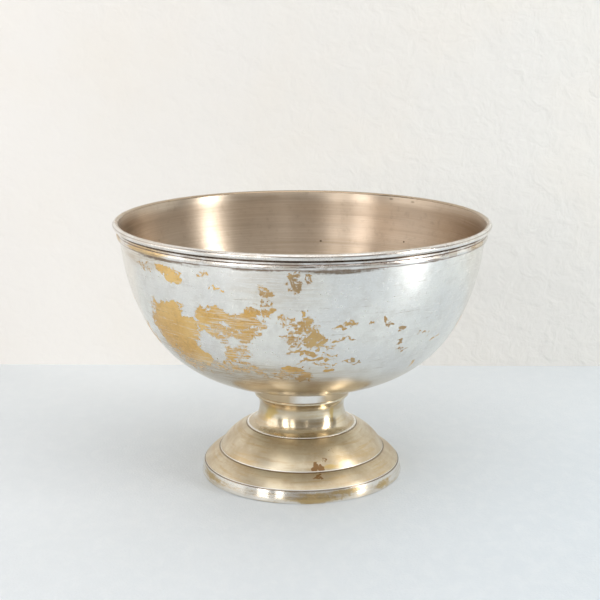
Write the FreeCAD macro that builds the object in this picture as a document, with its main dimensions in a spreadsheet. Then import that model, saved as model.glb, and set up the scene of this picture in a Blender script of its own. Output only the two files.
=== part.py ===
import FreeCAD, Part
import Sketcher
import math
import os
from collections import namedtuple

# A footed punch bowl of spun, silver-plated brass. Everything is turned about the Z axis, and the origin
# is the centre of the ring that the foot stands on. Lengths are millimetres.
#
# From the top down: a spun bowl whose edge is rolled over a wire, a reeded band soldered under that roll,
# a turned collar, and a hollow spun foot on a heavy base ring. A boss soldered under the bowl holds a
# stud, and a nut inside the foot pulls the foot up against the collar through a dished plate.

SIZES = {
    # Sheet that the bowl and the foot are spun from.
    "sheet_thickness": 1.2,
    # Bowl: outer face. Three tangent arcs rise from the middle of the bottom to the flare.
    "bowl_bottom_height": 85.3,
    "bottom_arc": 243.0,
    "shoulder_start_radius": 90.7,
    "shoulder_arc": 117.7,
    "wall_start_radius": 151.3,
    "wall_arc": 199.0,
    "flare_start_height": 238.5,
    # Rolled edge: a curl of sheet about a wire.
    "roll_centre_radius": 177.1,
    "roll_centre_height": 249.1,
    "roll_outer": 2.9,
    "roll_end_lean": 65.0,
    "wire_gap": 0.05,
    # Reeded band under the roll: a broad reed, a fine groove and a narrow fillet above it.
    "band_bottom_height": 237.7,
    "band_back_bottom_radius": 173.4,
    "band_back_top_radius": 174.15,
    "band_edge_radius": 175.7,
    "reed_top_height": 242.3,
    "reed_arc": 4.6,
    "band_groove_depth": 0.5,
    "band_fillet_height": 243.0,
    "band_fillet_radius": 176.0,
    "band_top_height": 244.6,
    # Collar between the bowl and the foot.
    "collar_radius": 46.6,
    "collar_bore_radius": 39.0,
    "collar_round": 0.5,
    # Foot: outer face, from the lip under the collar down to the edge on the base ring.
    "foot_top_height": 80.6,
    "foot_lip_radius": 46.2,
    "foot_lip_round": 0.7,
    "upper_cove_arc": 14.0,
    "neck_radius": 41.4,
    "waist_height": 68.0,
    "lower_cove_arc": 28.0,
    "cove_turn_radius": 44.2,
    "first_edge_radius": 53.7,
    "first_edge_height": 49.1,
    "edge_drop": 0.8,
    "first_tier_arc": 52.5,
    "second_edge_radius": 80.4,
    "second_edge_height": 25.2,
    "second_tier_arc": 38.0,
    "third_edge_radius": 95.4,
    "third_edge_height": 12.9,
    "foot_edge_height": 12.0,
    "flange_hole_radius": 26.0,
    # Base ring that the foot shell is soldered to.
    "ring_shoulder_radius": 95.9,
    "ring_shoulder_round": 0.5,
    "ring_outer_radius": 98.6,
    "ring_bottom_round": 1.2,
    "ring_face_height": 0.0,
    "ring_face_radius": 94.4,
    "ring_face_rise": 2.4,
    "ring_top_bore_radius": 92.4,
    # Boss under the middle of the bowl.
    "boss_radius": 34.0,
    "boss_face_height": 81.4,
    "hub_radius": 9.0,
    "hub_face_height": 77.2,
    "stud_radius": 4.0,
    "stud_top_height": 84.0,
    "stud_bottom_height": 60.0,
    "stud_chamfer": 0.8,
    "thread_pitch": 1.25,
    "thread_depth": 0.6,
    "thread_start_height": 61.6,
    # Dished plate that the nut pulls up against the inside of the foot's flange.
    "plate_radius": 38.0,
    "plate_thickness": 1.6,
    "plate_rim_radius": 30.0,
    "plate_floor_radius": 24.0,
    "plate_dish": 3.2,
    "plate_hole_radius": 4.4,
    # Split spring washer and hexagon nut.
    "washer_radius": 7.4,
    "washer_bore_radius": 4.2,
    "washer_thickness": 2.0,
    "washer_slit": 0.8,
    "nut_flats": 13.0,
    "nut_thickness": 6.5,
    "nut_face_radius": 6.3,
    "nut_cone_radius": 8.2,
    "nut_cone_rise": 1.1,
}

THREAD_RINGS = 15
AXIS = -2         # a sketch's vertical axis
ORIGIN = (-1, 1)  # a sketch's origin point
START, END, CENTRE = 1, 2, 3

# An arc of an outline. radius is a sum of sizes, or a number as a first guess. left says that it turns
# left on the way round the outline. centre is a (radius, height) pair, or the number of an edge whose
# centre it shares. long marks an arc of more than half a circle.
Arc = namedtuple("Arc", "radius left centre long", defaults=(None, False))

document = FreeCAD.newDocument("PunchBowl")
sheet = document.addObject("Spreadsheet::Sheet", "Sizes")
for row, (alias, value) in enumerate(SIZES.items(), start=1):
    sheet.set(f"A{row}", alias)
    sheet.set(f"B{row}", str(value))
    sheet.setAlias(f"B{row}", alias)
document.recompute()


def amount(names):
    """Value of a sum of sizes, written "first, -second". A number is returned as it is."""
    if isinstance(names, float):
        return names
    total = 0.0
    for name in names.split(", "):
        sign = -1.0 if name.startswith("-") else 1.0
        total += sign * SIZES[name.lstrip("-")]
    return total


def formula(names):
    """Expression of the same sum, for a size to be bound to."""
    text = ""
    for name in names.split(", "):
        sign = " - " if name.startswith("-") else " + "
        text += f"{sign}Sizes.{name.lstrip('-')}"
    return text.removeprefix(" + ")


def arc_centre(first, last, radius, left, long):
    """Centre of an arc that goes from first to last."""
    half = math.dist(first, last) / 2
    along = ((last[0] - first[0]) / (2 * half), (last[1] - first[1]) / (2 * half))
    rise = math.sqrt(max(radius ** 2 - half ** 2, 0.0))
    side = 1.0 if left != long else -1.0
    middle = ((first[0] + last[0]) / 2, (first[1] + last[1]) / 2)
    return middle[0] - side * rise * along[1], middle[1] + side * rise * along[0]


class Section:
    """A closed outline in a body's XZ plane, with radius to the right and height up."""

    def __init__(self, body, name):
        plane = next(item for item in body.Origin.OriginFeatures if item.Role == "XZ_Plane")
        self.sketch = body.newObject("Sketcher::SketchObject", name)
        self.sketch.AttachmentSupport = [(plane, "")]
        self.sketch.MapMode = "FlatFace"
        self.body = body

    def add(self, kind, *where):
        return self.sketch.addConstraint(Sketcher.Constraint(kind, *where))

    def bind(self, kind, names, *where):
        """Add a size that follows the sheet. A number stays free, as a first guess."""
        if isinstance(names, str):
            index = self.add(kind, *where, amount(names))
            self.sketch.setExpression(f"Constraints[{index}]", formula(names))

    def hold(self, edge, point, radius, height):
        """Hold a point's radius and height. A radius of "axis" puts it on the Z axis."""
        if radius == "axis":
            self.add("PointOnObject", edge, point, AXIS)
        else:
            self.bind("DistanceX", radius, *ORIGIN, edge, point)
        self.bind("DistanceY", height, *ORIGIN, edge, point)

    def draw(self, first, last, arc):
        """Draw one edge. Returns its number and its first and last points' numbers."""
        if arc is None:
            ends = [FreeCAD.Vector(*end, 0) for end in (first, last)]
            return self.sketch.addGeometry(Part.LineSegment(*ends)), START, END
        radius = amount(arc.radius)
        centre = arc_centre(first, last, radius, arc.left, arc.long)
        angles = [math.atan2(end[1] - centre[1], end[0] - centre[0]) for end in (first, last)]
        if not arc.left:
            angles.reverse()
        circle = Part.Circle(FreeCAD.Vector(*centre, 0), FreeCAD.Vector(0, 0, 1), radius)
        edge = self.sketch.addGeometry(Part.ArcOfCircle(circle, *angles))
        return (edge, START, END) if arc.left else (edge, END, START)

    def outline(self, points, arcs=None, smooth=()):
        """Draw a closed outline through points, and hold it by the sheet.

        Each point is a (radius, height) pair of sums of sizes. A number there is a first guess that
        the arcs settle. Edge n starts at point n, and arcs gives the ones that are not straight.
        smooth lists the points where two edges meet without a corner.
        """
        arcs = arcs or {}
        places = [(0.0 if radius == "axis" else amount(radius), amount(height)) for radius, height in points]
        edges = []
        for number, place in enumerate(places):
            edges.append(self.draw(place, places[(number + 1) % len(places)], arcs.get(number)))
        for number, (edge, first, _) in enumerate(edges):
            before, _, last = edges[number - 1]
            self.add("Tangent" if number in smooth else "Coincident", before, last, edge, first)
            self.hold(edge, first, *points[number])
        for number, arc in arcs.items():
            self.bind("Radius", arc.radius, edges[number][0])
            if isinstance(arc.centre, int):
                self.add("Coincident", edges[arc.centre][0], CENTRE, edges[number][0], CENTRE)
            elif arc.centre:
                self.hold(edges[number][0], CENTRE, *arc.centre)
        return edges

    def turn(self, kind, name):
        """Turn the outline about Z, into a solid (Revolution) or a cut (Groove)."""
        feature = self.body.newObject(f"PartDesign::{kind}", name)
        feature.Profile = self.sketch
        feature.ReferenceAxis = (self.sketch, ["V_Axis"])
        feature.Angle = 360.0
        document.recompute()
        return feature


def new_body(label):
    body = document.addObject("PartDesign::Body", label)
    body.Label = label
    return body


def turned_piece(label, points, arcs=None, smooth=()):
    """A piece made by turning one outline."""
    body = new_body(label)
    section = Section(body, f"{label}_section")
    section.outline(points, arcs, smooth)
    section.turn("Revolution", f"{label}_turned")
    return body


def follow_arc(point, heading, radius, bend):
    """End point and heading after an arc that bends by so many degrees, left if positive."""
    side = math.copysign(radius, bend)
    end_heading = heading + math.radians(bend)
    end = (point[0] + side * (math.sin(end_heading) - math.sin(heading)),
           point[1] - side * (math.cos(end_heading) - math.cos(heading)))
    return end, end_heading


def make_bowl():
    """Bowl spun from one disc: round bottom, shoulder, wall, flare, and the edge rolled over a wire.

    The outline goes up the outer face, round the inside of the roll and back down the inner face, on
    the same centres. The bends are a first guess, which the tangencies and the held points settle.
    """
    wall = SIZES["sheet_thickness"]
    bends = (("bottom_arc", 22.0), ("shoulder_arc", 41.0), ("wall_arc", 24.0), (34.0, -19.0),
             ("roll_outer, -sheet_thickness", -275.0))
    point, heading = (0.0, SIZES["bowl_bottom_height"]), 0.0
    outer = [point]
    inner = [(0.0, SIZES["bowl_bottom_height"] + wall)]
    for radius, bend in bends:
        point, heading = follow_arc(point, heading, amount(radius), bend)
        outer.append(point)
        inner.append((point[0] - wall * math.sin(heading), point[1] + wall * math.cos(heading)))

    points = [
        ("axis", "bowl_bottom_height"),
        ("shoulder_start_radius", outer[1][1]),
        ("wall_start_radius", outer[2][1]),
        (outer[3][0], "flare_start_height"),
        outer[4],
        outer[5],
    ]
    points += inner[:0:-1]
    points.append(("axis", inner[0][1]))
    arcs = {
        0: Arc("bottom_arc", True, ("axis", 0.0)),
        1: Arc("shoulder_arc", True),
        2: Arc("wall_arc", True),
        3: Arc(34.0, False),
        4: Arc("roll_outer, -sheet_thickness", False, ("roll_centre_radius", "roll_centre_height"), True),
        6: Arc("roll_outer", True, 4, True),
        7: Arc(34.0 + wall, True, 3),
        8: Arc(SIZES["wall_arc"] - wall, False, 2),
        9: Arc(SIZES["shoulder_arc"] - wall, False, 1),
        10: Arc(SIZES["bottom_arc"] - wall, False, 0),
    }
    body = new_body("bowl_shell")
    section = Section(body, "bowl_section")
    edges = section.outline(points, arcs, smooth=(1, 2, 3, 4, 7, 8, 9, 10))
    roll, cut_end = edges[4][0], edges[5][0]
    section.add("PointOnObject", roll, CENTRE, cut_end)
    lean = section.add("Angle", -1, cut_end, math.radians(180.0 + SIZES["roll_end_lean"]))
    section.sketch.setExpression(f"Constraints[{lean}]", "180 + Sizes.roll_end_lean")
    section.turn("Revolution", "bowl_spun")
    return body


def make_rim_wire():
    """Wire that the bowl's edge is rolled over."""
    wire = document.addObject("Part::Torus", "rim_wire")
    wire.Label = "rim_wire"
    wire.setExpression("Radius1", "Sizes.roll_centre_radius")
    wire.setExpression("Radius2", formula("roll_outer, -sheet_thickness, -wire_gap"))
    wire.setExpression("Placement.Base.z", "Sizes.roll_centre_height")
    return wire


def make_rim_band():
    """Drawn strip soldered round the wall: a broad reed, a fine groove and a narrow fillet."""
    points = (
        ("band_back_bottom_radius", "band_bottom_height"),
        ("band_edge_radius", "band_bottom_height"),
        ("band_edge_radius", "reed_top_height"),
        ("band_edge_radius, -band_groove_depth", "band_fillet_height"),
        ("band_fillet_radius", "band_fillet_height"),
        ("band_fillet_radius", "band_top_height"),
        ("band_back_top_radius", "band_top_height"),
    )
    return turned_piece("rim_band", points, {1: Arc("reed_arc", True)})


# The underside of the bowl, which the collar and the boss are turned to fit.
BOWL_CENTRE = ("axis", "bowl_bottom_height, bottom_arc")


def bowl_underside(radius):
    """Height of the bowl's outer face at a radius within its bottom arc."""
    arc = SIZES["bottom_arc"]
    return SIZES["bowl_bottom_height"] + arc - math.sqrt(arc ** 2 - SIZES[radius] ** 2)


def make_collar():
    """Turned ring that fills the corner between the round bowl and the flat top of the foot."""
    points = (
        ("collar_bore_radius", "foot_top_height"),
        ("collar_radius, -collar_round", "foot_top_height"),
        ("collar_radius", "foot_top_height, collar_round"),
        ("collar_radius", bowl_underside("collar_radius")),
        ("collar_bore_radius", bowl_underside("collar_bore_radius")),
    )
    return turned_piece("neck_collar", points,
                        {1: Arc("collar_round", True), 3: Arc("bottom_arc", False, BOWL_CENTRE)})


def make_boss():
    """Turned boss soldered under the bowl: a flange shaped to the bottom, and a tapped hub."""
    points = (
        ("axis", "bowl_bottom_height"),
        ("boss_radius", bowl_underside("boss_radius")),
        ("boss_radius", "boss_face_height"),
        ("hub_radius", "boss_face_height"),
        ("hub_radius", "hub_face_height"),
        ("stud_radius", "hub_face_height"),
        ("stud_radius", "stud_top_height"),
        ("axis", "stud_top_height"),
    )
    return turned_piece("bowl_boss", points, {0: Arc("bottom_arc", True, ("axis", 0.0))})


def make_foot():
    """Hollow foot spun from sheet: flange, neck and two rounded tiers, each ending in a fine drop.

    The solid of the outer face is turned first. The hollow is then cut out of it, on the same centres
    and a sheet's thickness inside. The two long coves are upright at the waist.
    """
    wall = SIZES["sheet_thickness"]
    waist = (50.0, "waist_height")
    outer = (
        ("axis", "foot_edge_height"),
        ("axis", "foot_top_height"),
        ("foot_lip_radius, -foot_lip_round", "foot_top_height"),
        ("foot_lip_radius", "foot_top_height, -foot_lip_round"),
        ("foot_lip_radius", SIZES["waist_height"] + 10.5),
        ("neck_radius", "waist_height"),
        ("cove_turn_radius", SIZES["waist_height"] - 12.2),
        ("first_edge_radius", "first_edge_height"),
        ("first_edge_radius", "first_edge_height, -edge_drop"),
        ("second_edge_radius", "second_edge_height"),
        ("second_edge_radius", "second_edge_height, -edge_drop"),
        ("third_edge_radius", "third_edge_height"),
        ("third_edge_radius", "foot_edge_height"),
    )
    outer_arcs = {
        2: Arc("foot_lip_round", False),
        4: Arc("upper_cove_arc", True, waist),
        5: Arc("lower_cove_arc", True, waist),
        6: Arc(12.0, True),
        8: Arc("first_tier_arc", False),
        10: Arc("second_tier_arc", False),
    }
    body = turned_piece("foot_shell", outer, outer_arcs, smooth=(6,))
    solid_volume = body.Shape.Volume

    hollow = (
        ("axis", "foot_top_height, sheet_thickness"),
        ("axis", "foot_edge_height, -sheet_thickness"),
        ("third_edge_radius, -sheet_thickness", "foot_edge_height, -sheet_thickness"),
        ("third_edge_radius, -sheet_thickness", "foot_edge_height"),
        ("second_edge_radius", "second_edge_height, -edge_drop, -sheet_thickness"),
        ("second_edge_radius, -sheet_thickness", "second_edge_height, -edge_drop"),
        ("first_edge_radius", "first_edge_height, -edge_drop, -sheet_thickness"),
        ("first_edge_radius, -sheet_thickness", "first_edge_height, -sheet_thickness"),
        ("cove_turn_radius, -sheet_thickness", SIZES["waist_height"] - 12.8),
        ("neck_radius, -sheet_thickness", "waist_height"),
        ("foot_lip_radius, -sheet_thickness", SIZES["waist_height"] + 11.0),
        ("foot_lip_radius, -sheet_thickness", "foot_top_height, -sheet_thickness"),
        ("flange_hole_radius", "foot_top_height, -sheet_thickness"),
        ("flange_hole_radius", "foot_top_height, sheet_thickness"),
    )
    hollow_arcs = {
        3: Arc("second_tier_arc, -sheet_thickness", True),
        5: Arc("first_tier_arc, -sheet_thickness", True),
        7: Arc(12.0 + wall, False),
        8: Arc("lower_cove_arc, sheet_thickness", False, waist),
        9: Arc("upper_cove_arc, sheet_thickness", False, waist),
    }
    section = Section(body, "foot_hollow_section")
    section.outline(hollow, hollow_arcs, smooth=(8,))
    section.turn("Groove", "foot_hollow")
    if body.Shape.Volume > 0.5 * solid_volume:
        raise RuntimeError("the hollow of the foot was not cut")
    return body


def make_base_ring():
    """Heavy ring soldered under the foot shell. Its flat lower face is what the bowl stands on."""
    points = (
        ("ring_top_bore_radius", "foot_edge_height"),
        ("ring_face_radius", "ring_face_rise"),
        ("ring_face_radius", "ring_face_height"),
        ("ring_outer_radius, -ring_bottom_round", "ring_face_height"),
        ("ring_outer_radius", "ring_face_height, ring_bottom_round"),
        ("ring_shoulder_radius, ring_shoulder_round", "foot_edge_height, -ring_shoulder_round"),
        ("ring_shoulder_radius", "foot_edge_height"),
    )
    return turned_piece("base_ring", points,
                        {3: Arc("ring_bottom_round", True), 5: Arc("ring_shoulder_round", True)})


def make_stud():
    """Threaded stud screwed into the boss. The thread is a row of V-shaped rings."""
    points = (
        ("axis", "stud_bottom_height"),
        ("stud_radius, -stud_chamfer", "stud_bottom_height"),
        ("stud_radius", "stud_bottom_height, stud_chamfer"),
        ("stud_radius", "stud_top_height"),
        ("axis", "stud_top_height"),
    )
    body = turned_piece("stud", points)
    plain_volume = body.Shape.Volume
    section = Section(body, "thread_section")
    section.outline((
        ("stud_radius, thread_depth", "thread_start_height, -thread_depth, -thread_depth"),
        ("stud_radius, thread_depth", "thread_start_height, thread_depth, thread_depth"),
        ("stud_radius, -thread_depth", "thread_start_height"),
    ))
    ring = section.turn("Groove", "thread_ring")
    rings = body.newObject("PartDesign::LinearPattern", "thread_rings")
    rings.Originals = [ring]
    axis = next(item for item in body.Origin.OriginFeatures if item.Role == "Z_Axis")
    rings.Direction = (axis, [""])
    rings.Mode = "Spacing"
    rings.Occurrences = THREAD_RINGS
    rings.setExpression("Offset", "Sizes.thread_pitch")
    body.Tip = rings
    document.recompute()
    if body.Shape.Volume > 0.95 * plain_volume:
        raise RuntimeError("the thread was not cut")
    return body


# Heights below the foot's flange, from the clamp plate's rim down to the nut.
PLATE_TOP = "foot_top_height, -sheet_thickness"
PLATE_FLOOR = f"{PLATE_TOP}, -plate_dish"
WASHER_TOP = f"{PLATE_FLOOR}, -plate_thickness"
NUT_TOP = f"{WASHER_TOP}, -washer_thickness"
NUT_BOTTOM = f"{NUT_TOP}, -nut_thickness"


def make_clamp_plate():
    """Pressed plate inside the foot. Its raised rim bears on the underside of the flange."""
    points = (
        ("plate_hole_radius", WASHER_TOP),
        ("plate_floor_radius", WASHER_TOP),
        ("plate_rim_radius", f"{PLATE_TOP}, -plate_thickness"),
        ("plate_radius", f"{PLATE_TOP}, -plate_thickness"),
        ("plate_radius", PLATE_TOP),
        ("plate_rim_radius", PLATE_TOP),
        ("plate_floor_radius", PLATE_FLOOR),
        ("plate_hole_radius", PLATE_FLOOR),
    )
    return turned_piece("clamp_plate", points)


def primitive(kind, name, **expressions):
    """A Part primitive whose sizes and place follow the sheet."""
    item = document.addObject(kind, name)
    for size, expression in expressions.items():
        item.setExpression(size.replace("base_", "Placement.Base."), expression)
    return item


def combine(kind, label, base, tool):
    """A boolean of two objects, Part::Cut or Part::Common."""
    item = document.addObject(kind, label)
    item.Label = label
    item.Base = base
    item.Tool = tool
    return item


def make_spring_washer():
    """Split washer: a flat ring with a slit through one side."""
    place = {"Height": "Sizes.washer_thickness", "base_z": formula(NUT_TOP)}
    disc = primitive("Part::Cylinder", "washer_disc", Radius="Sizes.washer_radius", **place)
    bore = primitive("Part::Cylinder", "washer_bore", Radius="Sizes.washer_bore_radius", **place)
    slit = primitive("Part::Box", "washer_gap", Length="2 * Sizes.washer_radius", Width="Sizes.washer_slit",
                     base_y="-Sizes.washer_slit / 2", **place)
    return combine("Part::Cut", "spring_washer", combine("Part::Cut", "washer_ring", disc, bore), slit)


def make_nut():
    """Hexagon nut: a prism cut back to a bored form that cones in at both faces."""
    prism = primitive("Part::Prism", "nut_prism", Circumradius="Sizes.nut_flats / 2 / cos(30)",
                      Height="Sizes.nut_thickness", base_z=formula(NUT_BOTTOM))
    prism.Polygon = 6
    form = turned_piece("nut_form", (
        ("stud_radius", NUT_BOTTOM),
        ("nut_face_radius", NUT_BOTTOM),
        ("nut_cone_radius", f"{NUT_BOTTOM}, nut_cone_rise"),
        ("nut_cone_radius", f"{NUT_TOP}, -nut_cone_rise"),
        ("nut_face_radius", NUT_TOP),
        ("stud_radius", NUT_TOP),
    ))
    return combine("Part::Common", "nut", prism, form)


def check_document():
    """Stop if any object failed, or if a sketch is not fully held."""
    for item in document.Objects:
        if "Invalid" in item.State or "Error" in item.State:
            raise RuntimeError(f"{item.Name} failed: {item.State}")
        if item.TypeId == "Sketcher::SketchObject" and not item.FullyConstrained:
            raise RuntimeError(f"{item.Name} is not fully held")


pieces = [
    make_bowl(),
    make_rim_wire(),
    make_rim_band(),
    make_collar(),
    make_boss(),
    make_foot(),
    make_base_ring(),
    make_stud(),
    make_clamp_plate(),
    make_spring_washer(),
    make_nut(),
]
document.recompute()
check_document()
for piece in pieces:
    if piece.Shape.isNull() or not piece.Shape.isValid() or len(piece.Shape.Solids) != 1:
        raise RuntimeError(f"{piece.Label} is not one valid solid")

os.makedirs("parts", exist_ok=True)
for piece in pieces:
    piece.Shape.exportStep(f"parts/{piece.Label}.step")
    box = piece.Shape.optimalBoundingBox()
    volume = piece.Shape.Volume
    print(f"{piece.Label}: {volume:.0f} mm3, z {box.ZMin:.2f} to {box.ZMax:.2f}, r {box.XMax:.2f}")
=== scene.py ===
import math

import bmesh
import bpy
from mathutils import Matrix, Vector


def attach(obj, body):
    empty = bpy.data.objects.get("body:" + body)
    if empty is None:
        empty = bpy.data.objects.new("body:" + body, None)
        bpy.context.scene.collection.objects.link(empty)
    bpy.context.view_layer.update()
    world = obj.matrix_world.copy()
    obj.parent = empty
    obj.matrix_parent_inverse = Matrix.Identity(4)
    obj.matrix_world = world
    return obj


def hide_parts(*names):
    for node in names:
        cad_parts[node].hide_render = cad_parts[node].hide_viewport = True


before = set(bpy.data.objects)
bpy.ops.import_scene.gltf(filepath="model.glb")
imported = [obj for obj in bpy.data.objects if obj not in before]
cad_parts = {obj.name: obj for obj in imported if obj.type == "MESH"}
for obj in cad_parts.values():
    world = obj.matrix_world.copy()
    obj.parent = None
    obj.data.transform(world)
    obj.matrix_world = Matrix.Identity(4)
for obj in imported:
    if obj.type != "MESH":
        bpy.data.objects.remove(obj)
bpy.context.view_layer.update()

# A footed punch bowl of spun, silver-plated brass. Lengths are metres, and the bowl's axis is Z.
# A bearing is an angle round that axis: 0 at the front, which faces -Y, and positive to the right.

# -------------------------------------------------------------------------------------------------
# The painted table it stands on, the plaster wall behind, and the light. None is part of the bowl.
# The room is white. It has a tall window to the right, and windows and a door to the left.
# -------------------------------------------------------------------------------------------------
CAMERA_PLACE = (0.0, -1.2461, 0.4667)
CAMERA_TILT = 76.67
CAMERA_ROLL = 0.16
CAMERA_LENS = 79.27
CAMERA_SHIFT = -0.0033
SENSOR_WIDTH = 36.0

camera_data = bpy.data.cameras.new("camera")
camera_data.lens = CAMERA_LENS
camera_data.sensor_width = SENSOR_WIDTH
camera_data.shift_x = CAMERA_SHIFT
camera = bpy.data.objects.new("camera", camera_data)
camera.matrix_world = (
    Matrix.Translation(CAMERA_PLACE)
    @ Matrix.Rotation(math.radians(CAMERA_TILT), 4, "X")
    @ Matrix.Rotation(math.radians(CAMERA_ROLL), 4, "Z")
)
bpy.context.scene.collection.objects.link(camera)
bpy.context.scene.camera = camera
bpy.context.scene.view_settings.view_transform = "Standard"


class Finish:
    """A finish made of nodes round one Principled shader. A value is a number, colour or socket."""

    def __init__(self, name):
        self.material = bpy.data.materials.new(name)
        self.material.use_nodes = True
        self.tree = self.material.node_tree
        self.shader = self.tree.nodes["Principled BSDF"]
        self.place = self.node("ShaderNodeTexCoord").outputs["Object"]

    def node(self, kind, settings=None, **values):
        made = self.tree.nodes.new(kind)
        for name, setting in (settings or {}).items():
            setattr(made, name, setting)
        for name, value in values.items():
            self.feed(made.inputs[name.replace("_", " ")], value)
        return made

    def feed(self, socket, value):
        if isinstance(value, bpy.types.NodeSocket):
            self.tree.links.new(value, socket)
        elif socket.type == "RGBA" and len(value) == 3:
            socket.default_value = (*value, 1.0)
        else:
            socket.default_value = value

    def set(self, **values):
        for name, value in values.items():
            self.feed(self.shader.inputs[name.replace("_", " ")], value)

    def maths(self, operation, first, second=0.0, third=0.0, clamp=False):
        made = self.node("ShaderNodeMath", {"operation": operation, "use_clamp": clamp})
        for socket, value in zip(made.inputs, (first, second, third)):
            self.feed(socket, value)
        return made.outputs[0]

    def product(self, first, second):
        return self.maths("MULTIPLY", first, second)

    def larger(self, first, second):
        return self.maths("MAXIMUM", first, second)

    def scaled(self, vector, scale):
        return self.node("ShaderNodeMapping", Vector=vector, Scale=scale).outputs[0]

    def noise(self, scale, detail, rough=0.5, distortion=0.0, at=None):
        made = self.node("ShaderNodeTexNoise", Vector=at or self.place, Scale=scale, Detail=detail,
                         Roughness=rough, Distortion=distortion)
        return made.outputs["Fac"]

    def between(self, value, low, high, start=0.0, end=1.0, smooth=True):
        """Goes from start to end as value goes from low to high."""
        kind = "SMOOTHSTEP" if smooth else "LINEAR"
        made = self.node("ShaderNodeMapRange", {"interpolation_type": kind}, Value=value)
        ends = {"From Min": low, "From Max": high, "To Min": start, "To Max": end}
        for name, amount in ends.items():
            self.feed(made.inputs[name], amount)
        return made.outputs[0]

    def mix(self, share, first, second):
        """Mixes two colours."""
        made = self.node("ShaderNodeMix", {"data_type": "RGBA"})
        for number, value in ((0, share), (6, first), (7, second)):
            self.feed(made.inputs[number], value)
        return made.outputs[2]

    def coats(self, colour, *coats):
        """Lays coats over a colour, each given as (share, colour)."""
        for share, coat in coats:
            colour = self.mix(share, colour, coat)
        return colour

    def bump(self, height, depth, strength, under=None):
        """Relief of the given depth in metres, on top of another relief."""
        made = self.node("ShaderNodeBump", Height=height, Distance=depth, Strength=strength)
        if under is not None:
            self.feed(made.inputs["Normal"], under)
        return made.outputs[0]


TABLE_HALF = 6.0
WALL_PLACE = 0.365
WALL_HEIGHT = 4.0


def flat_sheet(name, corners, finish):
    mesh = bmesh.new()
    mesh.faces.new([mesh.verts.new(corner) for corner in corners])
    data = bpy.data.meshes.new(name)
    mesh.to_mesh(data)
    mesh.free()
    data.materials.append(finish.material)
    sheet = bpy.data.objects.new(name, data)
    bpy.context.scene.collection.objects.link(sheet)


# Painted light and shade: the table is painted lighter to the left and towards the back, and darker to
# the right.
PAINT_LIT_LEFT, PAINT_SHADED_RIGHT = (0.755, 0.795, 0.835), (0.635, 0.70, 0.762)
PAINT_LIT_BACK, PAINT_WORN, PAINT_RIDGE = (0.81, 0.845, 0.865), (0.66, 0.72, 0.77), (0.86, 0.89, 0.91)

paint = Finish("table_paint")
drag = paint.noise(1.0, 6.0, 0.7, 0.4, paint.scaled(paint.place, (70.0, 45.0, 1.0)))
patchy = paint.noise(5.0, 3.0)
grit = paint.noise(420.0, 3.0, 0.6)
on_table = paint.node("ShaderNodeSeparateXYZ", Vector=paint.place).outputs
paint.set(
    Base_Color=paint.coats(
        PAINT_LIT_LEFT,
        # Painted light and shade: lighter to the left and at the back, darker to the right.
        (paint.between(on_table["X"], -0.45, 0.35, smooth=False), PAINT_SHADED_RIGHT),
        (paint.between(on_table["Y"], -0.1, 0.36, 0.0, 0.5), PAINT_LIT_BACK),
        (paint.between(patchy, 0.35, 0.65, 0.0, 0.25), PAINT_WORN),
        (paint.between(drag, 0.4, 0.7, 0.0, 0.16), PAINT_RIDGE),
    ),
    Roughness=0.5,
    Normal=paint.bump(grit, 0.0008, 0.5, paint.bump(drag, 0.0012, 0.2)),
)
flat_sheet("table", [(-TABLE_HALF, -TABLE_HALF, 0), (TABLE_HALF, -TABLE_HALF, 0),
                     (TABLE_HALF, TABLE_HALF, 0), (-TABLE_HALF, TABLE_HALF, 0)], paint)

# Painted light and shade: the wall is painted lighter to the left and greyer to the right.
LIME_LIT_LEFT, LIME_SHADED_RIGHT, LIME_STAIN = (0.885, 0.86, 0.835), (0.755, 0.755, 0.735), (0.86, 0.80, 0.71)

plaster = Finish("wall_plaster")
lumps = plaster.noise(48.0, 5.0, 0.55, 0.4)
along_wall = plaster.node("ShaderNodeSeparateXYZ", Vector=plaster.place).outputs["X"]
plaster.set(
    Base_Color=plaster.coats(
        LIME_LIT_LEFT,
        # Painted light and shade: lighter to the left, greyer to the right.
        (plaster.between(along_wall, -0.45, 0.45, smooth=False), LIME_SHADED_RIGHT),
        (plaster.between(plaster.noise(6.0, 4.0), 0.45, 0.75, 0.0, 0.25), LIME_STAIN),
    ),
    Roughness=0.9,
    Normal=plaster.bump(lumps, 0.004, plaster.between(along_wall, -0.3, 0.4, 0.3, 0.75)),
)
# The wall is clear from behind, so that it doesn't hide the back of the bowl.
one_sided = plaster.node("ShaderNodeMixShader")
plaster.feed(one_sided.inputs[0], plaster.node("ShaderNodeNewGeometry").outputs["Backfacing"])
plaster.feed(one_sided.inputs[1], plaster.shader.outputs[0])
plaster.feed(one_sided.inputs[2], plaster.node("ShaderNodeBsdfTransparent").outputs[0])
plaster.feed(plaster.tree.nodes["Material Output"].inputs["Surface"], one_sided.outputs[0])
flat_sheet("wall", [(-TABLE_HALF, WALL_PLACE, 0), (TABLE_HALF, WALL_PLACE, 0),
                    (TABLE_HALF, WALL_PLACE, WALL_HEIGHT),
                    (-TABLE_HALF, WALL_PLACE, WALL_HEIGHT)], plaster)

DAYLIGHT = (1.0, 0.98, 0.95)
BOWL_MIDDLE = (0.0, 0.0, 0.15)


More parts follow.
